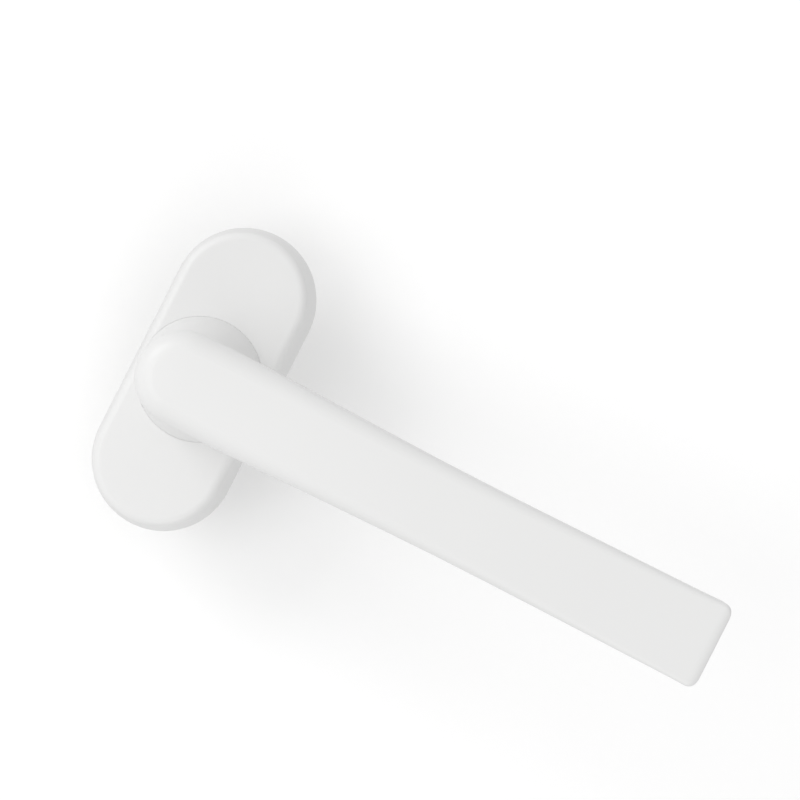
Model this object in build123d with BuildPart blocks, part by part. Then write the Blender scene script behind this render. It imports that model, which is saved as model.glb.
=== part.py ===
"""Tilt turn window handle: a lever on a stadium rosette, with its spindle and click mechanism.

Frame: +Z out of the sash, along the spindle's axis. +X along the lever at rest, +Y along the rosette.
The origin is the centre of the rosette's mounting face. All sizes are in millimetres.
"""

import os
from math import cos, radians, sin, tan

from build123d import *

# ---- Fixing to the sash ----
screw_spacing = 43.0
screw_clearance_r = 2.65
centring_cam_r = 5.0
centring_cam_height = 2.4
centring_cam_chamfer = 0.4
spindle_side = 7.0
spindle_reach = 36.0
spindle_seat_depth = 24.0

# ---- Rosette cover ----
cover_end_spacing = 40.5
cover_width = 32.8
cover_height = 11.0
cover_draft = 9.5
cover_edge_r = 1.9
cover_wall = 1.2
cover_top_wall = 1.4
cover_rim_lift = 0.1
cover_fit = 0.3

# ---- Lever ----
lever_length = 122.7
lever_top_z = 52.0
hub_r = 10.0
hub_depth = 14.0
grip_waist = 18.0
grip_waist_x = 70.0
grip_end_width = 18.9
grip_thickness = 9.6
grip_end_r = 2.2
grip_end_edge_r = 1.3
top_edge_hub_r = 4.5
top_edge_end_r = 0.9
underside_edge_r = 2.6
underside_length = 62.0
crown_hub = 0.6
crown_end = 0.12
crown_length = 72.0
grip_flare_power = 1.5
grip_station_shares = (0, 0.1, 0.22, 0.36, 0.5, 0.66, 0.84, 1)
end_angles = (0, 25, 50, 70, 90)
neck_foot_r = 14.0
neck_foot_edge_r = 0.5
neck_waist_r = 9.0
neck_waist_z = 36.0
neck_top_inset = 0.3

# ---- Spindle and shank ----
spindle_corner_chamfer = 0.4
spindle_tip_length = 1.5
spindle_tip_taper = 25.0
pin_r = 0.8
pin_length = 14.6
shank_r = 7.0
shank_end_z = 0.4
shank_flat_width = 12.8
ring_thickness = 0.8
ring_outer_r = 9.0
ring_opening = 5.0
ring_groove_depth = 1.0

# ---- Click mechanism ----
cam_side = 15.4
cam_corner_r = 8.9
cam_thickness = 2.8
curved_washer_height = 0.6
curved_washer_thickness = 0.25
washer_outer_r = 9.0
leaf_thickness = 0.5
leaf_length = 25.0
leaf_hook = 1.3
leaf_bend_r = 0.6
shoulder_length = 1.1

# ---- Bearing ----
bush_wall = 1.0
bush_flange_r = 11.6
bush_flange_thickness = 0.8
thrust_ring_outer_r = 12.6
thrust_ring_thickness = 0.5

# ---- Base plate and what it holds ----
base_top_gap = 1.0
base_edge_r = 0.6
core_wall = 1.5
core_rib = 1.2
core_roof = 1.6
core_rib_angle = 42.0
pocket_wall_corner_r = 0.8
back_plate_thickness = 0.8
back_plate_recess = 0.1
back_plate_margin_x = 1.8
back_plate_margin_y = 3.2
back_plate_corner_r = 2.0
plate_screw_r = 1.0
plate_screw_head_r = 1.5
plate_screw_length = 4.0
sleeve_wall = 0.9
sleeve_flange_r = 5.0
sleeve_flange_thickness = 1.0
screw_seat_z = 3.6
clip_thickness = 0.4
clip_width = 5.0
clip_height = 6.0
clip_bottom_z = 1.2
clip_bow = 1.5
clip_crown_gap = 0.5
snap_groove_depth = 0.4
snap_groove_height = 2.4

# ---- Fits ----
running_gap = 0.05
press_gap = 0.02
cover_hole_gap = 0.05
thrust_gap = 0.1
free_gap = 0.3

# ---- Levels along Z, worked out from the sizes above ----
draft_slope = tan(radians(cover_draft))
back_plate_top = back_plate_recess + back_plate_thickness
ring_bottom = back_plate_top + free_gap
cam_bottom = ring_bottom + ring_thickness
cam_top = cam_bottom + cam_thickness
cam_middle = cam_bottom + cam_thickness / 2
pocket_top = cam_top + curved_washer_height + thrust_gap
base_height = cover_height - cover_top_wall - base_top_gap
bush_flange_top = base_height + bush_flange_thickness
neck_foot_z = bush_flange_top + thrust_ring_thickness + thrust_gap
neck_top_z = lever_top_z - hub_depth + underside_edge_r
core_top_z = base_height - core_roof
clip_middle_z = clip_bottom_z + clip_height / 2
sleeve_foot_z = free_gap - centring_cam_height

# ---- Widths and places, worked out from the sizes above ----
grip_stations = [share * (lever_length - grip_end_r) for share in grip_station_shares]
washer_rise = curved_washer_height - curved_washer_thickness
cover_inner_width = cover_width - 2 * cover_wall
neck_top_r = hub_r - neck_top_inset
cover_hole_r = neck_foot_r + cover_hole_gap
base_width = cover_inner_width - 2 * cover_fit
bush_inner_r = shank_r + running_gap
bush_outer_r = bush_inner_r + bush_wall
leaf_centre_x = cam_side / 2 + running_gap + leaf_thickness / 2
leaf_end_y = (leaf_length - leaf_thickness) / 2
leaf_bearing_x = leaf_centre_x + leaf_thickness / 2 + running_gap
pocket_half_x = cam_corner_r + leaf_thickness + 2 * free_gap
pocket_half_y = leaf_length / 2 + free_gap
shoulder_y = leaf_end_y - leaf_thickness / 2 - running_gap - leaf_bend_r - shoulder_length / 2
back_plate_half_x = pocket_half_x + back_plate_margin_x
back_plate_half_y = pocket_half_y + back_plate_margin_y
plate_screw_x = pocket_half_x - plate_screw_head_r
plate_screw_y = pocket_half_y + back_plate_margin_y / 2
screw_y = screw_spacing / 2
sleeve_outer_r = screw_clearance_r + sleeve_wall
counterbore_r = sleeve_flange_r + free_gap
core_inner_r = counterbore_r + core_wall
core_width = base_width - 2 * (core_top_z * draft_slope + core_wall)
core_start_y = back_plate_half_y + running_gap + core_wall


def cover_inner_half_width(z):
    """Half width of the hollow inside the cover at height z."""
    return cover_inner_width / 2 - (z - cover_rim_lift) * draft_slope


clip_crown_y = cover_end_spacing / 2 + cover_inner_half_width(clip_middle_z) - clip_crown_gap
clip_foot_y = clip_crown_y - clip_bow
clip_end_y = clip_foot_y - clip_thickness / 2
clip_half_z = (clip_height - clip_thickness) / 2
clip_slot_y = clip_foot_y - clip_thickness - running_gap
groove_width = 2 * (cover_inner_half_width(clip_middle_z) + snap_groove_depth)


# ---- Rosette cover: a drafted stadium shell with a rounded top edge and a round hole for the neck ----
# The hole runs the full height, so it also relieves the side walls where the neck's foot passes.
with BuildPart() as rosette_cover:
    with BuildSketch(Plane.XY.offset(cover_rim_lift)):
        SlotCenterToCenter(cover_end_spacing, cover_width, rotation=90)
    extrude(amount=cover_height - cover_rim_lift, taper=cover_draft)
    fillet(rosette_cover.edges().group_by(Axis.Z)[-1], cover_edge_r)
    with BuildSketch(Plane.XY.offset(cover_rim_lift)):
        SlotCenterToCenter(cover_end_spacing, cover_inner_width, rotation=90)
    extrude(
        amount=cover_height - cover_rim_lift - cover_top_wall,
        taper=cover_draft,
        mode=Mode.SUBTRACT,
    )
    with BuildSketch(Plane.XY.offset(cover_rim_lift)):
        Circle(cover_hole_r)
    extrude(amount=cover_height, mode=Mode.SUBTRACT)
    # snap grooves for the clips, inside both ends
    with BuildSketch(Plane.XY.offset(clip_middle_z - snap_groove_height / 2)):
        SlotCenterToCenter(cover_end_spacing, groove_width, rotation=90)
        Rectangle(clip_width + 2 * free_gap, 2 * cover_end_spacing, mode=Mode.INTERSECT)
        Rectangle(cover_width, cover_end_spacing + cover_inner_width / 2, mode=Mode.SUBTRACT)
    extrude(amount=snap_groove_height, mode=Mode.SUBTRACT)


# ---- Lever: grip lofted through eased sections, round hub end, flared neck and the shank below ----
def ease(share):
    """A smooth fall from 1 at 0 to 0 at 1."""
    return (1 + cos(radians(180 * min(max(share, 0), 1)))) / 2


def grip_width(x):
    """Width of the grip: eased from the hub to the waist, then slowly wider towards the end."""
    if x < grip_waist_x:
        return grip_waist + (2 * hub_r - grip_waist) * ease(x / grip_waist_x)
    beyond = (x - grip_waist_x) / (lever_length - grip_waist_x)
    return grip_waist + (grip_end_width - grip_waist) * beyond**grip_flare_power


def grip_outline(x, angle=0):
    """One cross section of the grip at x, drawn flat. The angle closes it round the end, 90 at the tip."""
    close = 1 - cos(radians(angle))
    half = grip_width(x) / 2 - grip_end_r * close
    top = lever_top_z - grip_end_edge_r * close
    shoulder = top - crown_end - (crown_hub - crown_end) * ease(x / crown_length)
    thickness = grip_thickness + (hub_depth - grip_thickness) * ease(x / underside_length)
    under = lever_top_z - thickness + grip_end_edge_r * close
    edge_r = top_edge_hub_r + (top_edge_end_r - top_edge_hub_r) * x / lever_length
    with BuildSketch() as outline:
        with BuildLine():
            Polyline((-half, shoulder), (-half, under), (half, under), (half, shoulder))
            ThreePointArc((half, shoulder), (0, top), (-half, shoulder))
        make_face()
        fillet(outline.vertices().group_by(Axis.Y)[0], underside_edge_r)
        fillet(outline.vertices().group_by(Axis.Y)[-1], edge_r)
    return outline.sketch


with BuildPart() as lever:
    # neck: a flared foot that narrows to a waist and widens again into the hub
    with BuildSketch(Plane.XZ):
        with BuildLine():
            foot_edge = RadiusArc(
                (neck_foot_r - neck_foot_edge_r, neck_foot_z),
                (neck_foot_r, neck_foot_z + neck_foot_edge_r),
                -neck_foot_edge_r,
            )
            flare = TangentArc((neck_waist_r, neck_waist_z), foot_edge @ 1, tangent=(0, -1))
            swell = TangentArc(flare @ 0, (neck_top_r, neck_top_z), tangent=(0, 1))
            Polyline(swell @ 1, (0, neck_top_z), (0, neck_foot_z), foot_edge @ 0)
        make_face()
    revolve(axis=Axis.Z)
    # hub: the grip's first section turned half round the axis
    with BuildSketch(Plane.YZ):
        add(grip_outline(0))
        Rectangle(2 * hub_r, 2 * lever_top_z, align=(Align.MIN, Align.CENTER), mode=Mode.INTERSECT)
    revolve(axis=Axis.Z, revolution_arc=180)
    # grip
    for x in grip_stations:
        with BuildSketch(Plane.YZ.offset(x)):
            add(grip_outline(x))
    loft()
    # rounded end
    for angle in end_angles:
        x = lever_length - grip_end_r * (1 - sin(radians(angle)))
        with BuildSketch(Plane.YZ.offset(x)):
            add(grip_outline(x, angle))
    loft()
    # shank with two flats for the cam, a groove for the ring and a square socket for the spindle
    with BuildSketch(Plane.XY.offset(neck_foot_z)):
        Circle(shank_r)
    extrude(amount=shank_end_z - neck_foot_z)
    with BuildSketch(Plane.XY.offset(shank_end_z)):
        Circle(2 * shank_r)
        Rectangle(shank_flat_width, 4 * shank_r, mode=Mode.SUBTRACT)
    extrude(amount=cam_top - shank_end_z, mode=Mode.SUBTRACT)
    with BuildSketch(Plane.XY.offset(ring_bottom - running_gap)):
        Circle(shank_r + free_gap)
        Circle(shank_r - ring_groove_depth, mode=Mode.SUBTRACT)
    extrude(amount=ring_thickness + running_gap, mode=Mode.SUBTRACT)
    with BuildSketch(Plane.XY.offset(shank_end_z)):
        Rectangle(spindle_side + 2 * running_gap, spindle_side + 2 * running_gap)
    extrude(amount=spindle_seat_depth + running_gap, mode=Mode.SUBTRACT)
    with BuildSketch(Plane.YZ.offset(-shank_r)):
        with Locations((0, cam_middle)):
            Circle(pin_r + press_gap)
    extrude(amount=2 * shank_r, mode=Mode.SUBTRACT)


# ---- Spindle: square bar with a chamfered tip, and the pin that ties it to the shank and the cam ----
with BuildPart() as spindle:
    with BuildSketch(Plane.XY.offset(spindle_tip_length - spindle_reach)) as spindle_section:
        Rectangle(spindle_side, spindle_side)
        chamfer(spindle_section.vertices(), spindle_corner_chamfer)
    extrude(amount=spindle_reach - spindle_tip_length + shank_end_z + spindle_seat_depth)
    add(spindle_section.sketch)
    extrude(amount=-spindle_tip_length, taper=spindle_tip_taper)
    with BuildSketch(Plane.YZ.offset(-spindle_side)):
        with Locations((0, cam_middle)):
            Circle(pin_r + press_gap)
    extrude(amount=2 * spindle_side, mode=Mode.SUBTRACT)

with BuildPart() as spindle_pin:
    with BuildSketch(Plane.YZ.offset(-pin_length / 2)):
        with Locations((0, cam_middle)):
            Circle(pin_r)
    extrude(amount=pin_length)
    chamfer(spindle_pin.edges().filter_by(GeomType.CIRCLE), pin_r / 4)


# ---- Click mechanism on the shank: square cam, curved washer and snap ring ----
with BuildPart() as detent_cam:
    with BuildSketch(Plane.XY.offset(cam_bottom)):
        Rectangle(cam_side, cam_side)
        Circle(cam_corner_r, mode=Mode.INTERSECT)
    extrude(amount=cam_thickness)
    with BuildSketch(Plane.XY.offset(cam_bottom)):
        Circle(shank_r + running_gap)
        Rectangle(shank_flat_width + 2 * running_gap, 4 * shank_r, mode=Mode.INTERSECT)
    extrude(amount=cam_thickness, mode=Mode.SUBTRACT)
    with BuildSketch(Plane.YZ.offset(-cam_side)):
        with Locations((0, cam_middle)):
            Circle(pin_r + press_gap)
    extrude(amount=2 * cam_side, mode=Mode.SUBTRACT)

with BuildPart() as curved_washer:
    # a thin strip bent to a shallow arc, then cut to a ring
    with BuildSketch(Plane.XZ):
        with BuildLine():
            under = ThreePointArc(
                (-washer_outer_r, cam_top),
                (0, cam_top + washer_rise),
                (washer_outer_r, cam_top),
            )
            over = ThreePointArc(
                (-washer_outer_r, cam_top + curved_washer_thickness),
                (0, cam_top + curved_washer_height),
                (washer_outer_r, cam_top + curved_washer_thickness),
            )
            Line(under @ 0, over @ 0)
            Line(under @ 1, over @ 1)
        make_face()
    extrude(amount=washer_outer_r, both=True)
    with BuildSketch(Plane.XY.offset(cam_top)):
        Circle(washer_outer_r)
        Circle(shank_r + running_gap, mode=Mode.SUBTRACT)
    extrude(amount=curved_washer_height, mode=Mode.INTERSECT)

with BuildPart() as retaining_ring:
    with BuildSketch(Plane.XY.offset(ring_bottom)):
        Circle(ring_outer_r)
        Circle(shank_r - ring_groove_depth + running_gap, mode=Mode.SUBTRACT)
        with Locations((-ring_outer_r, 0)):
            Rectangle(2 * ring_outer_r - 2 * running_gap, ring_opening, mode=Mode.SUBTRACT)
    extrude(amount=ring_thickness)


# ---- Bearing of the neck: flanged bush in the base and a low friction ring on its flange ----
with BuildPart() as neck_bush:
    with BuildSketch(Plane.XY.offset(pocket_top)):
        Circle(bush_outer_r)
    extrude(amount=bush_flange_top - pocket_top)
    with BuildSketch(Plane.XY.offset(base_height)):
        Circle(bush_flange_r)
    extrude(amount=bush_flange_thickness)
    chamfer(neck_bush.faces().sort_by(Axis.Z)[0].edges(), bush_wall / 4)
    with BuildSketch(Plane.XY.offset(pocket_top)):
        Circle(bush_inner_r)
    extrude(amount=bush_flange_top - pocket_top, mode=Mode.SUBTRACT)

with BuildPart() as thrust_ring:
    with BuildSketch(Plane.XY.offset(bush_flange_top)):
        Circle(thrust_ring_outer_r)
        Circle(shank_r + free_gap, mode=Mode.SUBTRACT)
    extrude(amount=thrust_ring_thickness)


# ---- Base plate: cast body that fills the cover, with the mechanism's pocket open to the back ----
with BuildPart() as base_plate:
    with BuildSketch():
        SlotCenterToCenter(cover_end_spacing, base_width, rotation=90)
    extrude(amount=base_height, taper=cover_draft)
    fillet(base_plate.edges().group_by(Axis.Z)[-1], base_edge_r)
    # centring cams on the back, one round each fixing screw
    with BuildSketch():
        with Locations((0, -screw_y), (0, screw_y)):
            Circle(centring_cam_r)
    extrude(amount=-centring_cam_height)
    chamfer(base_plate.edges().group_by(Axis.Z)[0], centring_cam_chamfer)
    # screw holes, with a counterbore for the sleeve's flange and the screw's head
    with BuildSketch(Plane.XY.offset(-centring_cam_height)):
        with Locations((0, -screw_y), (0, screw_y)):
            Circle(sleeve_outer_r + press_gap)
    extrude(amount=base_height + centring_cam_height, mode=Mode.SUBTRACT)
    with BuildSketch(Plane.XY.offset(screw_seat_z)):
        with Locations((0, -screw_y), (0, screw_y)):
            Circle(counterbore_r)
    extrude(amount=base_height, mode=Mode.SUBTRACT)
    # bore for the bush
    with BuildSketch():
        Circle(bush_outer_r + press_gap)
    extrude(amount=base_height, mode=Mode.SUBTRACT)
    # pocket with four shoulders that the leaf springs bear on
    with BuildSketch():
        RectangleRounded(2 * pocket_half_x, 2 * pocket_half_y, pocket_wall_corner_r)
        with GridLocations(pocket_half_x + leaf_bearing_x, 2 * shoulder_y, 2, 2):
            Rectangle(pocket_half_x - leaf_bearing_x, shoulder_length, mode=Mode.SUBTRACT)
    extrude(amount=pocket_top, mode=Mode.SUBTRACT)
    # recess and tapped holes for the back plate
    with BuildSketch():
        RectangleRounded(
            2 * (back_plate_half_x + running_gap),
            2 * (back_plate_half_y + running_gap),
            back_plate_corner_r + running_gap,
        )
    extrude(amount=back_plate_top, mode=Mode.SUBTRACT)
    with BuildSketch(Plane.XY.offset(back_plate_top)):
        with GridLocations(2 * plate_screw_x, 2 * plate_screw_y, 2, 2):
            Circle(plate_screw_r + press_gap)
    extrude(amount=plate_screw_length, mode=Mode.SUBTRACT)
    # cores in the back of both ends, between ribs that stand round each screw's boss
    with BuildSketch():
        SlotCenterToCenter(cover_end_spacing, core_width, rotation=90)
        Rectangle(core_width, 2 * core_start_y, mode=Mode.SUBTRACT)
        Rectangle(clip_width + 2 * core_rib, 2 * cover_end_spacing, mode=Mode.SUBTRACT)
        with Locations((0, -screw_y), (0, screw_y)):
            Circle(core_inner_r, mode=Mode.SUBTRACT)
            for angle in (-core_rib_angle, 0, core_rib_angle):
                Rectangle(base_width, core_rib, rotation=angle, mode=Mode.SUBTRACT)
    extrude(amount=core_top_z, mode=Mode.SUBTRACT)
    # slots for the cover's clips, one in each end
    with BuildSketch(Plane.XY.offset(clip_bottom_z - running_gap)):
        Rectangle(clip_width + free_gap, 2 * cover_end_spacing)
        Rectangle(base_width, 2 * clip_slot_y, mode=Mode.SUBTRACT)
    extrude(amount=clip_height + 2 * running_gap, mode=Mode.SUBTRACT)


# ---- Leaf springs: straight along the cam's flat, hooked over the pocket's shoulders ----
leaf_springs = []
for side, name in ((-1, "detent_spring_left"), (1, "detent_spring_right")):
    with BuildPart() as leaf_spring:
        with BuildSketch(Plane.XY.offset(cam_bottom)):
            with BuildLine():
                FilletPolyline(
                    (side * (leaf_centre_x + leaf_hook), -leaf_end_y),
                    (side * leaf_centre_x, -leaf_end_y),
                    (side * leaf_centre_x, leaf_end_y),
                    (side * (leaf_centre_x + leaf_hook), leaf_end_y),
                    radius=leaf_bend_r,
                )
            trace(line_width=leaf_thickness)
        extrude(amount=cam_thickness)
    leaf_spring.part.label = name
    leaf_springs.append(leaf_spring)


# ---- Back plate with four countersunk screws ----
with BuildPart() as back_plate:
    with BuildSketch(Plane.XY.offset(back_plate_recess)):
        RectangleRounded(2 * back_plate_half_x, 2 * back_plate_half_y, back_plate_corner_r)
        Circle(shank_r + free_gap, mode=Mode.SUBTRACT)
    extrude(amount=back_plate_thickness)
    with Locations((0, 0, back_plate_recess)):
        with GridLocations(2 * plate_screw_x, 2 * plate_screw_y, 2, 2):
            Cone(
                plate_screw_head_r + press_gap,
                plate_screw_r + press_gap,
                back_plate_thickness,
                align=(Align.CENTER, Align.CENTER, Align.MIN),
                mode=Mode.SUBTRACT,
            )

with BuildPart() as back_plate_screws:
    with BuildSketch(Plane.XY.offset(back_plate_top)):
        with GridLocations(2 * plate_screw_x, 2 * plate_screw_y, 2, 2):
            Circle(plate_screw_r)
    extrude(amount=plate_screw_length - free_gap)
    with Locations((0, 0, back_plate_recess)):
        with GridLocations(2 * plate_screw_x, 2 * plate_screw_y, 2, 2):
            Cone(
                plate_screw_head_r,
                plate_screw_r,
                back_plate_thickness,
                align=(Align.CENTER, Align.CENTER, Align.MIN),
            )


# ---- Screw sleeves: flanged tubes that carry the fixing screws' load ----
sleeves = []
for side, name in ((-1, "screw_sleeve_bottom"), (1, "screw_sleeve_top")):
    with BuildPart() as sleeve:
        with BuildSketch(Plane.XY.offset(sleeve_foot_z)):
            with Locations((0, side * screw_y)):
                Circle(sleeve_outer_r)
        extrude(amount=screw_seat_z - sleeve_foot_z)
        with BuildSketch(Plane.XY.offset(screw_seat_z)):
            with Locations((0, side * screw_y)):
                Circle(sleeve_flange_r)
        extrude(amount=sleeve_flange_thickness)
        with BuildSketch(Plane.XY.offset(sleeve_foot_z)):
            with Locations((0, side * screw_y)):
                Circle(screw_clearance_r)
        extrude(amount=base_height, mode=Mode.SUBTRACT)
    sleeve.part.label = name
    sleeves.append(sleeve)


# ---- Cover clips: bowed spring strips standing in the ends of the base ----
clips = []
for side, name in ((-1, "cover_clip_bottom"), (1, "cover_clip_top")):
    with BuildPart() as clip:
        with BuildSketch(Plane.YZ):
            with BuildLine():
                ThreePointArc(
                    (side * clip_end_y, clip_middle_z - clip_half_z),
                    (side * (clip_end_y + clip_bow), clip_middle_z),
                    (side * clip_end_y, clip_middle_z + clip_half_z),
                )
            trace(line_width=clip_thickness)
        extrude(amount=clip_width / 2, both=True)
    clip.part.label = name
    clips.append(clip)


# ---- Export ----
rosette_cover.part.label = "rosette_cover"
lever.part.label = "lever"
spindle.part.label = "spindle"
spindle_pin.part.label = "spindle_pin"
detent_cam.part.label = "detent_cam"
curved_washer.part.label = "curved_washer"
retaining_ring.part.label = "retaining_ring"
neck_bush.part.label = "neck_bush"
thrust_ring.part.label = "thrust_ring"
base_plate.part.label = "base_plate"
back_plate.part.label = "back_plate"
back_plate_screws.part.label = "back_plate_screws"

shaft_pieces = [lever, spindle, spindle_pin, detent_cam, curved_washer, retaining_ring]
base_pieces = [base_plate, neck_bush, thrust_ring, back_plate, back_plate_screws]
held_pieces = [*leaf_springs, *sleeves, *clips]
os.makedirs("parts", exist_ok=True)
for piece in [rosette_cover, *shaft_pieces, *base_pieces, *held_pieces]:
    export_step(piece.part, f"parts/{piece.part.label}.step")
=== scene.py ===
"""Finishes and stages a tilt turn window handle.

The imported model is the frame: +Z out of the sash, +X along the lever, +Y along the rosette, in
metres.
"""

import bmesh
import bpy
from mathutils import Matrix, Vector


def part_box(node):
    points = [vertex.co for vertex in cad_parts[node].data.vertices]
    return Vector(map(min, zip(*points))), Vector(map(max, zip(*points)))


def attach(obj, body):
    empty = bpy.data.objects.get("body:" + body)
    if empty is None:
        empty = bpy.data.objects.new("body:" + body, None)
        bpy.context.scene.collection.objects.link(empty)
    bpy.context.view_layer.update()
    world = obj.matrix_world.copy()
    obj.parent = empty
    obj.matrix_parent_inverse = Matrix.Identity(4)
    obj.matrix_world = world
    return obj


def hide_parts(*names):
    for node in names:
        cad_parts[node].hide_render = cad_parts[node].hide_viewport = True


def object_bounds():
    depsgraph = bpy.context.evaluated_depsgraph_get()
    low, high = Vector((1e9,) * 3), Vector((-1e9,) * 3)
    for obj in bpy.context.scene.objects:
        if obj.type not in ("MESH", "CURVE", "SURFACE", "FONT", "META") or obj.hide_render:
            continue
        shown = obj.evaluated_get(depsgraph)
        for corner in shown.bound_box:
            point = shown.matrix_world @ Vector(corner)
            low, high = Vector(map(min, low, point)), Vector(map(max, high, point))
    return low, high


bl_info = {
    "name": "Tilt Turn Window Handle",
    "version": (1, 0, 0),
    "blender": (4, 5, 0),
    "location": "3D View > Sidebar > Handle",
    "description": "Finishes the handle's pieces and stages them in a soft studio",
    "category": "Object",
}

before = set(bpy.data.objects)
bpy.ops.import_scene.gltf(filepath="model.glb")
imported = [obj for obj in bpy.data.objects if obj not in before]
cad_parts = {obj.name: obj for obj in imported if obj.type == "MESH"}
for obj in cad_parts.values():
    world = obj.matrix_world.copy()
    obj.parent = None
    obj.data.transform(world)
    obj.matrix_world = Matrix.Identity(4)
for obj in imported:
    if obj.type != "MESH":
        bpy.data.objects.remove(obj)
cad_low, cad_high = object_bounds()

MM = 0.001
WHITE = (1, 1, 1, 1)

# the CAD pieces of each finish
WHITE_COATED = ("lever", "rosette_cover")
MOULDED = ("base_plate",)
SLIDING = ("neck_bush", "thrust_ring", "detent_cam")
ZINC_PLATED = ("back_plate", "screw_sleeve_top", "screw_sleeve_bottom", "spindle")
SPRING_STEEL = (
    "detent_spring_left",
    "detent_spring_right",
    "cover_clip_top",
    "cover_clip_bottom",
    "spindle_pin",
    "curved_washer",
    "retaining_ring",
)

# the plate screws, each driven in to its own angle, in radians
SCREW_TURNS = (0.2, 1.1, 0.7, 1.4)
SCREW_SEGMENTS = 40
RECESS_TAPER = 0.6
ROUNDED_ABOVE = 0.9
RANK_BASE = 1000

# where the picture is taken from, and its right and up
CAMERA_AT = Vector((0.044736, 0.019978, 0.524623))
IMAGE_RIGHT = Vector((0.891787, 0.452509, -0.008391))
IMAGE_UP = Vector((-0.452552, 0.891794, -0.004248))
SENSOR_WIDTH = 36
NEAREST, FARTHEST = 0.01, 10

# lamps: along the picture's right and up and the height, from the part's middle
LAMP_SIZE = 0.5
LEFT_LAMP_AT = Vector((-0.47, 0, 0.88))
CORNER_LAMP_AT = Vector((-0.58, 0.58, 0.57))
NEAR_LAMP_AT = Vector((0, -0.82, 0.57))

FLOOR_CORNERS = 64
FLOOR_COLOR = (0.80, 0.80, 0.80, 1)
# painted shade for the inside of the floor's hole, seen only by the camera
HOLE_PAINTED_SHADE = (0.15, 0.15, 0.15, 1)
HOLE_BELOW_SPINDLE = MM
FADE_FROM, FADE_TO = 0.4, 1.2


class Wire:
    """A node's output that takes part in Python expressions."""

    def __init__(self, nodes, socket):
        self.nodes = nodes
        self.socket = socket

    def math(self, operation, other):
        return self.nodes.node("ShaderNodeMath", {"operation": operation}, (self, other))

    def __add__(self, other):
        return self.math("ADD", other)

    def __sub__(self, other):
        return self.math("SUBTRACT", other)

    def __rsub__(self, other):
        return self.nodes.node("ShaderNodeMath", {"operation": "SUBTRACT"}, (other, self))

    def __mul__(self, other):
        return self.math("MULTIPLY", other)

    __radd__ = __add__
    __rmul__ = __mul__


class Nodes:
    """The nodes of a material or a world under construction."""

    def __init__(self, owner):
        owner.use_nodes = True
        self.tree = owner.node_tree
        self.tree.nodes.clear()

    def node(self, kind, settings=None, inputs=(), output=0):
        """Adds a node: its settings first, then the values or links of its sockets."""
        made = self.tree.nodes.new(kind)
        for name, value in (settings or {}).items():
            setattr(made, name, value)
        pairs = inputs.items() if isinstance(inputs, dict) else enumerate(inputs)
        for key, value in pairs:
            if isinstance(value, Wire):
                self.tree.links.new(value.socket, made.inputs[key])
            else:
                made.inputs[key].default_value = value
        return Wire(self, made.outputs[output]) if len(made.outputs) else made


class Finish(Nodes):
    """A material under construction."""

    def __init__(self, name):
        self.material = bpy.data.materials.new(name)
        super().__init__(self.material)

    def place(self):
        return self.node("ShaderNodeTexCoord", output="Object")

    def noise(self, scale, detail=2.0, stretch=(1, 1, 1)):
        """Soft cloudy pattern from 0 to 1. Scale is in patches per metre."""
        where = self.node("ShaderNodeMapping", {}, {"Vector": self.place(), "Scale": stretch})
        return self.node(
            "ShaderNodeTexNoise",
            {},
            {"Vector": where, "Scale": scale, "Detail": detail, "Roughness": 0.5},
        )

    def blend(self, factor, first, second):
        """Colour that goes from the first to the second as the factor rises."""
        # the mix node has sockets for every kind of data, and these are the colour's
        sockets = {0: factor, 6: first, 7: second}
        return self.node("ShaderNodeMix", {"data_type": "RGBA"}, sockets, 2)

    def bump(self, height, strength, distance):
        return self.node(
            "ShaderNodeBump",
            {},
            {"Strength": strength, "Distance": distance, "Height": height},
        )

    def close(self, shader):
        """Makes the shader the material's surface, and gives the material."""
        self.node("ShaderNodeOutputMaterial", {}, {"Surface": shader})
        return self.material

    def surface(self, inputs):
        return self.close(self.node("ShaderNodeBsdfPrincipled", {}, inputs))


def shade(color, factor):
    """The colour made lighter or darker by a factor, as red, green, blue and alpha."""
    return (*(min(channel * factor, 1) for channel in color), 1)


def powder_coat(settings):
    """Satin powder coat: a faint orange peel, and a slight drift in tone and gloss."""
    finish = Finish("satin_white_powder_coat")
    drift = finish.noise(28, 3)
    peel = finish.noise(1100, 2)
    dull, fresh = shade(settings.coat_color, 0.985), shade(settings.coat_color, 1.01)
    return finish.surface(
        {
            "Base Color": finish.blend(drift, dull, fresh),
            "Roughness": settings.coat_roughness + 0.05 * (drift - 0.5),
            "Coat Weight": 0.15,
            "Coat Roughness": 0.3,
            "Normal": finish.bump(peel, 0.10, settings.peel_depth),
        }
    )


def moulded_plastic(name, color, roughness, grain):
    """Moulded plastic: fine spark-eroded grain and a faint flow pattern."""
    finish = Finish(name)
    flow = finish.noise(60, 3, (1, 0.3, 1))
    spark = finish.noise(2200, 3)
    return finish.surface(
        {
            "Base Color": finish.blend(flow, shade(color, 0.95), shade(color, 1.03)),
            "Roughness": roughness + 0.1 * (flow - 0.5),
            "Normal": finish.bump(spark, grain, 0.03 * MM),
        }
    )


def zinc_plate(name="zinc_plate"):
    """Zinc plated steel: cool metal with a faint warm passivation bloom."""
    finish = Finish(name)
    bloom = finish.noise(120, 4)
    spangle = finish.noise(1500, 2)
    return finish.surface(
        {
            "Base Color": finish.blend(bloom, (0.60, 0.63, 0.66, 1), (0.70, 0.68, 0.62, 1)),
            "Metallic": 1.0,
            "Roughness": 0.30 + 0.14 * bloom,
            "Normal": finish.bump(spangle, 0.08, 0.02 * MM),
        }
    )


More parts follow.
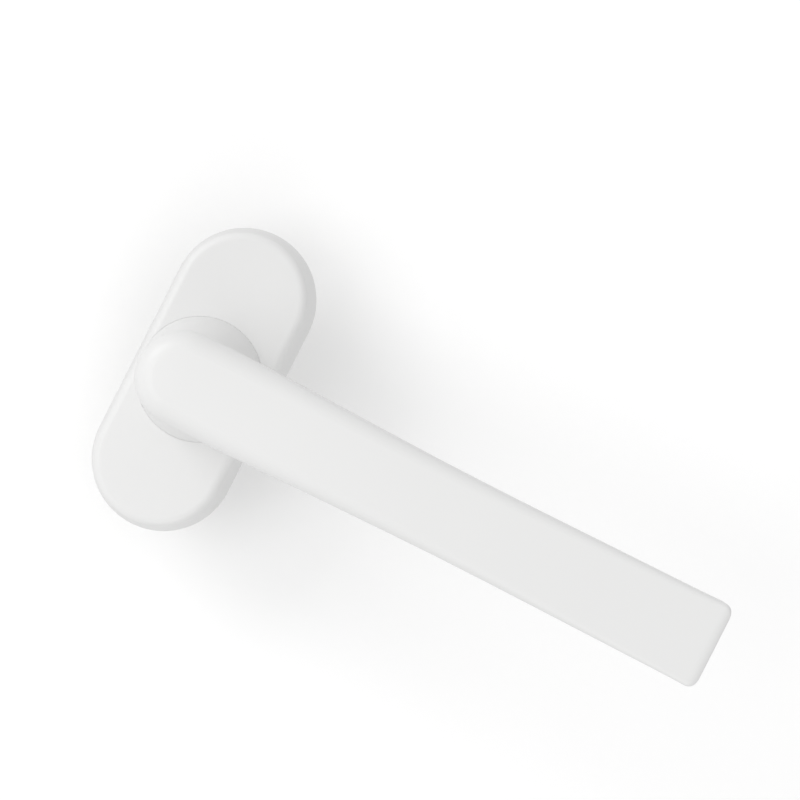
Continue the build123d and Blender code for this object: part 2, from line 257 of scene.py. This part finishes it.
def rolled_steel():
    """Hardened spring steel: dark, drawn lengthways."""
    finish = Finish("spring_steel")
    drawn = finish.noise(900, 3, (1, 0.06, 1))
    return finish.surface(
        {
            "Base Color": finish.blend(drawn, (0.30, 0.31, 0.33, 1), (0.43, 0.44, 0.46, 1)),
            "Metallic": 1.0,
            "Roughness": 0.28 + 0.16 * drawn,
            "Normal": finish.bump(drawn, 0.12, 0.02 * MM),
        }
    )


def dress(material, nodes):
    """Gives each of the named CAD pieces the material."""
    for name in nodes:
        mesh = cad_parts[name].data
        mesh.materials.clear()
        mesh.materials.append(material)


def extend_rim(shape, rim, rise, spread):
    """Extrudes a ring of edges, moved along Z and scaled in plan, and gives the new ring."""
    grown = bmesh.ops.extrude_edge_only(shape, edges=rim)["geom"]
    corners = [item for item in grown if isinstance(item, bmesh.types.BMVert)]
    bmesh.ops.scale(shape, vec=(spread, spread, 1), verts=corners)
    bmesh.ops.translate(shape, vec=(0, 0, rise), verts=corners)
    return [item for item in grown if isinstance(item, bmesh.types.BMEdge)]


def in_cross(point, screws):
    """Whether a point of the head's face lies in the cross recess."""
    near, far = sorted((abs(point.x), abs(point.y)))
    return near < screws.slot_width / 2 and far < screws.slot_reach


def corner_rank(part):
    """A number that puts the edges or faces of a screw in the order of their lowest corners."""
    rank = 0
    for corner in sorted(corner.index for corner in part.verts)[:3]:
        rank = rank * RANK_BASE + corner
    return rank


def crossed_screw(screws, length):
    """A countersunk screw on its axis: its head's face at 0 and looking down, its shank upwards."""
    screw = bmesh.new()
    bmesh.ops.create_circle(
        screw, cap_ends=True, segments=SCREW_SEGMENTS, radius=screws.head_radius
    )
    # lines across the face where the recess's arms begin and end
    for normal in (Vector((1, 0, 0)), Vector((0, 1, 0))):
        for offset in (screws.slot_width / 2, screws.slot_reach):
            for side in (-1, 1):
                bmesh.ops.bisect_plane(
                    screw,
                    geom=screw.verts[:] + screw.edges[:] + screw.faces[:],
                    plane_co=normal * offset * side,
                    plane_no=normal,
                )
    cross = [face for face in screw.faces if in_cross(face.calc_center_median(), screws)]
    rim = [edge for edge in screw.edges if edge.is_boundary]
    # the cone, then the shank up to its end
    rim = extend_rim(screw, rim, screws.head_height, screws.shank_radius / screws.head_radius)
    rim = extend_rim(screw, rim, length - screws.head_height, 1)
    bmesh.ops.contextual_create(screw, geom=rim)
    # the recess, narrower at its bottom
    sunk = bmesh.ops.extrude_face_region(screw, geom=cross)["geom"]
    bottom = [item for item in sunk if isinstance(item, bmesh.types.BMVert)]
    bmesh.ops.scale(screw, vec=(RECESS_TAPER, RECESS_TAPER, 1), verts=bottom)
    bmesh.ops.translate(screw, vec=(0, 0, screws.slot_depth), verts=bottom)
    bmesh.ops.delete(screw, geom=cross, context="FACES")
    bmesh.ops.recalc_face_normals(screw, faces=screw.faces[:])
    # the head's rim and the shank's edges, and nothing of the recess
    sharp = [
        edge
        for edge in screw.edges
        if edge.is_manifold
        and edge.calc_face_angle() > ROUNDED_ABOVE
        and min(corner.co.xy.length for corner in edge.verts) > 0.9 * screws.shank_radius
    ]
    bmesh.ops.bevel(
        screw,
        geom=sharp,
        offset=screws.rim_edge,
        affect="EDGES",
        segments=2,
        profile=0.5,
        material=-1,
    )
    # the extruded recess comes in no fixed order
    screw.verts.index_update()
    screw.edges.sort(key=corner_rank)
    screw.faces.sort(key=corner_rank)
    return screw


def tint(name, description, default):
    """A colour that can be set in the panel."""
    return bpy.props.FloatVectorProperty(
        name=name,
        description=description,
        subtype="COLOR",
        size=3,
        min=0,
        max=1,
        default=default,
    )


def measure(name, description, default, low=0, high=10):
    """A length that can be set in the panel."""
    return bpy.props.FloatProperty(
        name=name,
        description=description,
        subtype="DISTANCE",
        unit="LENGTH",
        min=low,
        max=high,
        default=default,
    )


def power(name, description, default):
    """A lamp's power that can be set in the panel."""
    return bpy.props.FloatProperty(
        name=name, description=description, unit="POWER", min=0, default=default
    )


class HandleFinishes(bpy.types.PropertyGroup):
    coat_color: tint(
        "Coat colour", "Colour of the powder coat on the lever and the cover", (0.77, 0.77, 0.766)
    )
    coat_roughness: bpy.props.FloatProperty(
        name="Coat roughness",
        description="0 is a mirror, 1 is chalk",
        subtype="FACTOR",
        min=0,
        max=1,
        default=0.42,
    )
    peel_depth: measure("Orange peel", "Height of the powder coat's texture", 0.02 * MM)
    base_color: tint("Base colour", "Colour of the moulded base", (0.50, 0.50, 0.48))
    slide_color: tint(
        "Bearing colour", "Colour of the bush, the thrust ring and the cam", (0.70, 0.69, 0.63)
    )


class NeckFoot(bpy.types.PropertyGroup):
    edge_radius: measure(
        "Foot edge", "Rounding under the widest line of the neck's foot", 0.5 * MM, 0.01 * MM
    )
    rise: measure(
        "Foot rise",
        "How far the foot's widest line goes up, to lie level with the cover's top",
        0.48 * MM,
    )
    growth: measure(
        "Foot growth",
        "What the foot's widest line gains in radius, less than the fit in the cover's hole",
        0.03 * MM,
    )


class PlateScrews(bpy.types.PropertyGroup):
    head_radius: measure(
        "Head radius",
        "Radius of the countersunk head, flush with the back plate",
        1.5 * MM,
        0.1 * MM,
    )
    head_height: measure(
        "Head height",
        "Height of the countersunk cone, which is the back plate's thickness",
        0.8 * MM,
    )
    shank_radius: measure("Shank radius", "Radius of the shank", 1.0 * MM)
    slot_reach: measure(
        "Recess reach",
        "From the screw's axis to the end of each arm of its cross recess",
        0.85 * MM,
    )
    slot_width: measure("Recess width", "Width of each arm of the cross recess", 0.34 * MM)
    slot_depth: measure("Recess depth", "Depth of the cross recess", 0.6 * MM)
    rim_edge: measure("Rim edge", "Rounding of the head's rim and the shank's end", 0.06 * MM)


class HandleStage(bpy.types.PropertyGroup):
    floor_depth: measure(
        "Floor depth",
        "From the sash face down to the floor, less than the spindle's length",
        24 * MM,
        0,
        -cad_low.z,
    )
    floor_opening: measure(
        "Floor opening", "Radius of the floor's hole that the spindle stands in", 6 * MM, 5 * MM
    )
    floor_size: measure("Floor size", "Diameter of the floor", 4, 1)
    lens: bpy.props.FloatProperty(
        name="Lens",
        description="Focal length on a sensor 36 mm wide",
        unit="CAMERA",
        min=20,
        default=103.95,
    )
    sky_level: bpy.props.FloatProperty(
        name="Room light",
        description="Strength of the even light from all round",
        min=0,
        default=0.77,
    )
    left_power: power("Left light", "Power of the soft lamp at the picture's left", 1.3)
    corner_power: power(
        "Corner light", "Power of the soft lamp at the picture's upper left", 2.3
    )
    near_power: power("Near light", "Power of the soft lamp at the picture's lower edge", 1.1)


class HANDLE_OT_coat(bpy.types.Operator):
    """Powder coats the lever and the rosette cover"""

    bl_idname = "handle.coat"
    bl_label = "Coat the lever and cover"

    def execute(self, context):
        dress(powder_coat(context.scene.handle_finishes), WHITE_COATED)
        return {"FINISHED"}


class HANDLE_OT_base(bpy.types.Operator):
    """Gives the base, the bush, the thrust ring and the cam their moulded plastics"""

    bl_idname = "handle.base"
    bl_label = "Finish the moulded pieces"

    def execute(self, context):
        finishes = context.scene.handle_finishes
        dress(moulded_plastic("glass_filled_nylon", finishes.base_color, 0.55, 0.30), MOULDED)
        dress(moulded_plastic("acetal", finishes.slide_color, 0.35, 0.10), SLIDING)
        return {"FINISHED"}


class HANDLE_OT_metal(bpy.types.Operator):
    """Finishes the spindle, plate, sleeves, springs, clips, pin, washer and ring"""

    bl_idname = "handle.metal"
    bl_label = "Finish the steel pieces"

    def execute(self, context):
        dress(zinc_plate(), ZINC_PLATED)
        dress(rolled_steel(), SPRING_STEEL)
        return {"FINISHED"}


class HANDLE_OT_foot(bpy.types.Operator):
    """Draws the lever with the edge of its neck's foot close in the cover's hole"""

    bl_idname = "handle.foot"
    bl_label = "Close the neck's foot"

    def execute(self, context):
        foot = context.scene.neck_foot
        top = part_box("rosette_cover")[1].z
        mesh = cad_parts["lever"].data.copy()
        mesh.name = "lever_close_foot"
        low = [corner for corner in mesh.vertices if corner.co.z < top]
        widest = max(corner.co.xy.length for corner in low)
        for corner in low:
            # 1 on the widest line, 0 where the rounding under it begins
            share = 1 - (widest - corner.co.xy.length) / foot.edge_radius
            if share > 0:
                corner.co.xy *= 1 + share * foot.growth / widest
                corner.co.z += share * foot.rise
        piece = bpy.data.objects.new("lever_close_foot", mesh)
        context.scene.collection.objects.link(piece)
        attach(piece, "handle")
        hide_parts("lever")
        return {"FINISHED"}


class HANDLE_OT_screws(bpy.types.Operator):
    """Turns the back plate's four countersunk screws, with their cross recesses"""

    bl_idname = "handle.screws"
    bl_label = "Make the plate screws"

    def execute(self, context):
        low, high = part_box("back_plate_screws")
        screws = context.scene.plate_screws
        reach = (high - low) / 2 - Vector((screws.head_radius, screws.head_radius, 0))
        mesh = bpy.data.meshes.new("plate_screws_crossed")
        whole = bmesh.new()
        for turn, (x, y) in zip(SCREW_TURNS, ((-1, -1), (1, -1), (1, 1), (-1, 1))):
            screw = crossed_screw(screws, high.z - low.z)
            seat = Matrix.Translation((x * reach.x, y * reach.y, low.z))
            screw.transform(seat @ Matrix.Rotation(turn, 4, "Z"))
            # through the mesh, which is how one bmesh is added to another
            screw.to_mesh(mesh)
            whole.from_mesh(mesh)
            screw.free()
        whole.to_mesh(mesh)
        whole.free()
        piece = bpy.data.objects.new("plate_screws_crossed", mesh)
        context.scene.collection.objects.link(piece)
        mesh.materials.append(zinc_plate("zinc_plated_screws"))
        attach(piece, "root")
        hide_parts("back_plate_screws")
        return {"FINISHED"}


class HANDLE_OT_stage(bpy.types.Operator):
    """Lays a plain pale floor, sets soft lamps and aims the camera"""

    bl_idname = "handle.stage"
    bl_label = "Set the stage"

    def execute(self, context):
        stage = context.scene.handle_stage
        lay_floor(stage)
        light_room(context.scene, stage.sky_level)
        hang_lamp("left_lamp", LEFT_LAMP_AT, stage.left_power)
        hang_lamp("corner_lamp", CORNER_LAMP_AT, stage.corner_power)
        hang_lamp("near_lamp", NEAR_LAMP_AT, stage.near_power)
        aim_camera(context.scene, stage.lens)
        context.scene.view_settings.view_transform = "Standard"
        return {"FINISHED"}


def lay_floor(stage):
    """A pale floor with a blind hole that the spindle stands in, its inside given painted shade."""
    bottom = cad_low.z - HOLE_BELOW_SPINDLE
    sheet = bmesh.new()
    bmesh.ops.create_circle(
        sheet, cap_ends=True, segments=FLOOR_CORNERS, radius=stage.floor_opening
    )
    bmesh.ops.translate(sheet, vec=(0, 0, bottom), verts=sheet.verts[:])
    # up the hole's wall, then out along the floor
    rim = extend_rim(sheet, sheet.edges[:], -stage.floor_depth - bottom, 1)
    extend_rim(sheet, rim, 0, stage.floor_size / 2 / stage.floor_opening)
    # the hole's faces take the second material, the hole's painted shade
    for face in sheet.faces:
        in_hole = face.calc_center_median().xy.length < stage.floor_opening
        face.material_index = int(in_hole)
    mesh = bpy.data.meshes.new("floor")
    sheet.to_mesh(mesh)
    sheet.free()
    mesh.materials.append(floor_card())
    mesh.materials.append(hole_shade())
    floor = bpy.data.objects.new("floor", mesh)
    bpy.context.scene.collection.objects.link(floor)


def floor_card():
    """The floor's white, which catches shadows.

    From below the camera looks through it, so that the mounting side can be seen, and far away it
    fades to the white of the room.
    """
    finish = Finish("pale_floor")
    seen = finish.node("ShaderNodeLightPath", output="Is Camera Ray")
    card = finish.node("ShaderNodeBsdfDiffuse", {}, {"Color": FLOOR_COLOR})
    bright = finish.node("ShaderNodeBsdfDiffuse", {}, {"Color": WHITE})
    shown = finish.node("ShaderNodeMixShader", {}, (seen, card, bright))
    below = finish.node("ShaderNodeNewGeometry", output="Backfacing")
    away = finish.node("ShaderNodeVectorMath", {"operation": "LENGTH"}, (finish.place(),), "Value")
    span = {"Value": away, "From Min": FADE_FROM, "From Max": FADE_TO}
    fade = finish.node("ShaderNodeMapRange", {}, span)
    glass = finish.node("ShaderNodeBsdfTransparent", {}, {"Color": WHITE})
    pane = finish.node("ShaderNodeMixShader", {}, (seen * (below + fade), shown, glass))
    return finish.close(pane)


def hole_shade():
    """The hole's inside: painted shade, dark to the camera above it, and open to the spindle's
    light.
    """
    finish = Finish("hole_painted_shade")
    seen = finish.node("ShaderNodeLightPath", output="Is Camera Ray")
    below = finish.node("ShaderNodeNewGeometry", output="Backfacing")
    glass = finish.node("ShaderNodeBsdfTransparent", {}, {"Color": WHITE})
    # painted shade: a dark card that only the camera sees, where the hole's inside lies in shadow
    dark = finish.node("ShaderNodeBsdfDiffuse", {}, {"Color": HOLE_PAINTED_SHADE})
    return finish.close(finish.node("ShaderNodeMixShader", {}, (seen * (1 - below), glass, dark)))


def light_room(scene, level):
    """Even light from all round. The camera, gloss and glass see plain white."""
    scene.world = bpy.data.worlds.new("studio")
    sky = Nodes(scene.world)
    camera, gloss, glass = (
        sky.node("ShaderNodeLightPath", output=f"Is {ray} Ray")
        for ray in ("Camera", "Glossy", "Transmission")
    )
    clear = camera.math("MAXIMUM", gloss).math("MAXIMUM", glass)
    room = sky.node("ShaderNodeBackground", {}, {"Color": WHITE, "Strength": level})
    white = sky.node("ShaderNodeBackground", {}, {"Color": WHITE, "Strength": 1})
    mix = sky.node("ShaderNodeMixShader", {}, (clear, room, white))
    sky.node("ShaderNodeOutputWorld", {}, {"Surface": mix})


def hang_lamp(name, at, watts):
    """A square soft lamp that looks at the part's middle, from a place in the picture's axes."""
    lamp = bpy.data.lights.new(name, "AREA")
    lamp.shape = "SQUARE"
    lamp.size = LAMP_SIZE
    lamp.energy = watts
    holder = bpy.data.objects.new(name, lamp)
    middle = (cad_low + cad_high) / 2
    holder.location = middle + IMAGE_RIGHT * at.x + IMAGE_UP * at.y + Vector((0, 0, at.z))
    holder.rotation_euler = (middle - holder.location).to_track_quat("-Z", "Y").to_euler()
    bpy.context.scene.collection.objects.link(holder)


def aim_camera(scene, lens):
    camera = bpy.data.cameras.new("camera")
    camera.sensor_width = SENSOR_WIDTH
    camera.lens = lens
    camera.clip_start, camera.clip_end = NEAREST, FARTHEST
    holder = bpy.data.objects.new("camera", camera)
    turn = Matrix((IMAGE_RIGHT, IMAGE_UP, IMAGE_RIGHT.cross(IMAGE_UP))).transposed()
    holder.matrix_world = Matrix.Translation(CAMERA_AT) @ turn.to_4x4()
    scene.collection.objects.link(holder)
    scene.camera = holder


class HANDLE_PT_sidebar(bpy.types.Panel):
    bl_idname = "HANDLE_PT_sidebar"
    bl_label = "Tilt turn handle"
    bl_space_type = "VIEW_3D"
    bl_region_type = "UI"
    bl_category = "Handle"

    def draw(self, context):
        scene = context.scene
        for group in GROUPS:
            column = self.layout.column()
            for name in group.__annotations__:
                column.prop(getattr(scene, GROUPS[group]), name)
        for operator in OPERATORS:
            self.layout.operator(operator.bl_idname)


# each group of settings, and its name on the scene
GROUPS = {
    HandleFinishes: "handle_finishes",
    NeckFoot: "neck_foot",
    PlateScrews: "plate_screws",
    HandleStage: "handle_stage",
}
OPERATORS = (
    HANDLE_OT_coat,
    HANDLE_OT_base,
    HANDLE_OT_metal,
    HANDLE_OT_foot,
    HANDLE_OT_screws,
    HANDLE_OT_stage,
)
CLASSES = (*GROUPS, *OPERATORS, HANDLE_PT_sidebar)


def register():
    for made in CLASSES:
        bpy.utils.register_class(made)
    for group, name in GROUPS.items():
        setattr(bpy.types.Scene, name, bpy.props.PointerProperty(type=group))


def unregister():
    for name in GROUPS.values():
        delattr(bpy.types.Scene, name)
    for made in reversed(CLASSES):
        bpy.utils.unregister_class(made)


def main():
    register()
    bpy.ops.handle.coat()
    bpy.ops.handle.base()
    bpy.ops.handle.metal()
    bpy.ops.handle.foot()
    bpy.ops.handle.screws()
    bpy.ops.handle.stage()
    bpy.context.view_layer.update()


if __name__ == "__main__":
    main()
